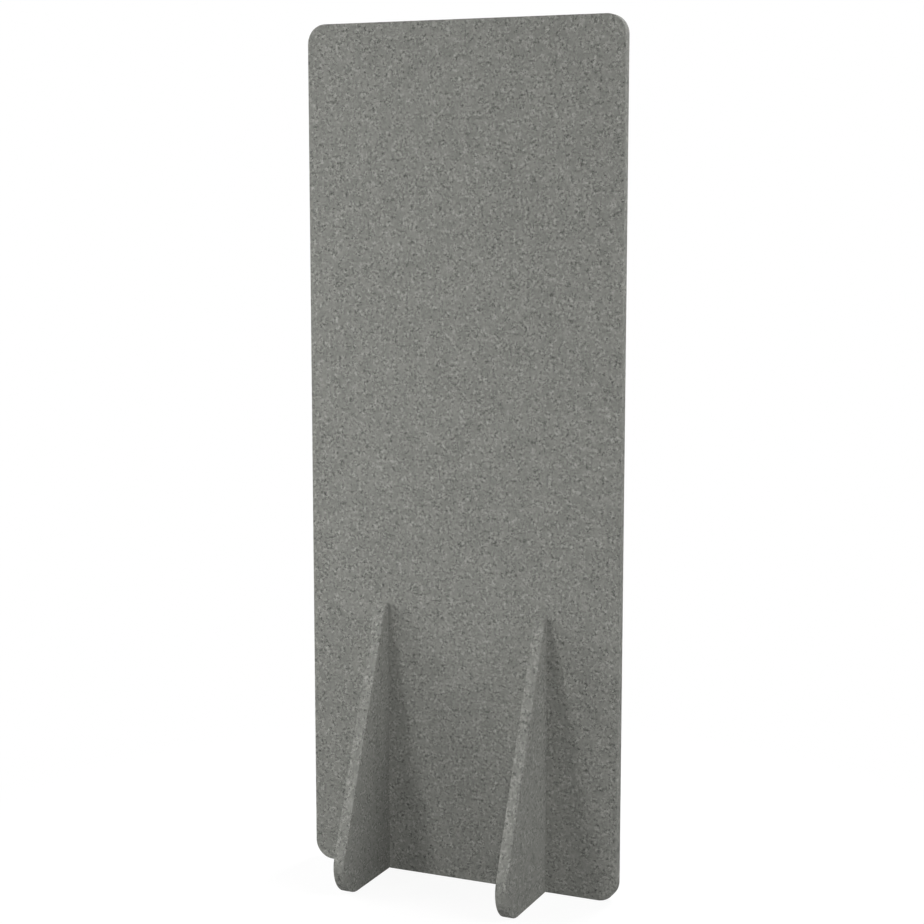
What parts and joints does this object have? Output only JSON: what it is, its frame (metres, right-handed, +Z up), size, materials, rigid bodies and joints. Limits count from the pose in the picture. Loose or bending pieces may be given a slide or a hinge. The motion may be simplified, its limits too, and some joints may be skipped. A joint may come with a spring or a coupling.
{
  "type": "acoustic divider screen",
  "caption": "Free-standing acoustic divider: an upright felt board with round corners, slotted onto sloping felt feet that reach out in front and behind.",
  "frame": {"origin": "on the floor in the middle of the screen, below the board's mid-plane and halfway between the feet", "axes": "+X along the board's width, to the right for a person in front of it; -Y the board's front; +Z up"},
  "size_m": [0.7, 0.455, 1.8],
  "materials": {
    "board_felt": "matt needle-punched polyester felt, warm grey melange",
    "foot_felt": "matt needle-punched polyester felt, warm grey melange"
  },
  "bodies": {
    "left_foot": {"left_foot": "foot_felt"},
    "board": {"board": "board_felt"},
    "right_foot": {"right_foot": "foot_felt"}
  },
  "joints": [
    {"name": "board_lift", "type": "slide", "parent": "left_foot", "child": "board", "axis": [0, 0, 1], "range_m": [0, 0.61]},
    {"name": "right_foot_drop", "type": "slide", "parent": "board", "child": "right_foot", "axis": [0, 0, -1], "range_m": [0, 0.61]}
  ],
  "couplings": [
    {"joint": "right_foot_drop", "follows": "board_lift", "ratio": 1}
  ]
}
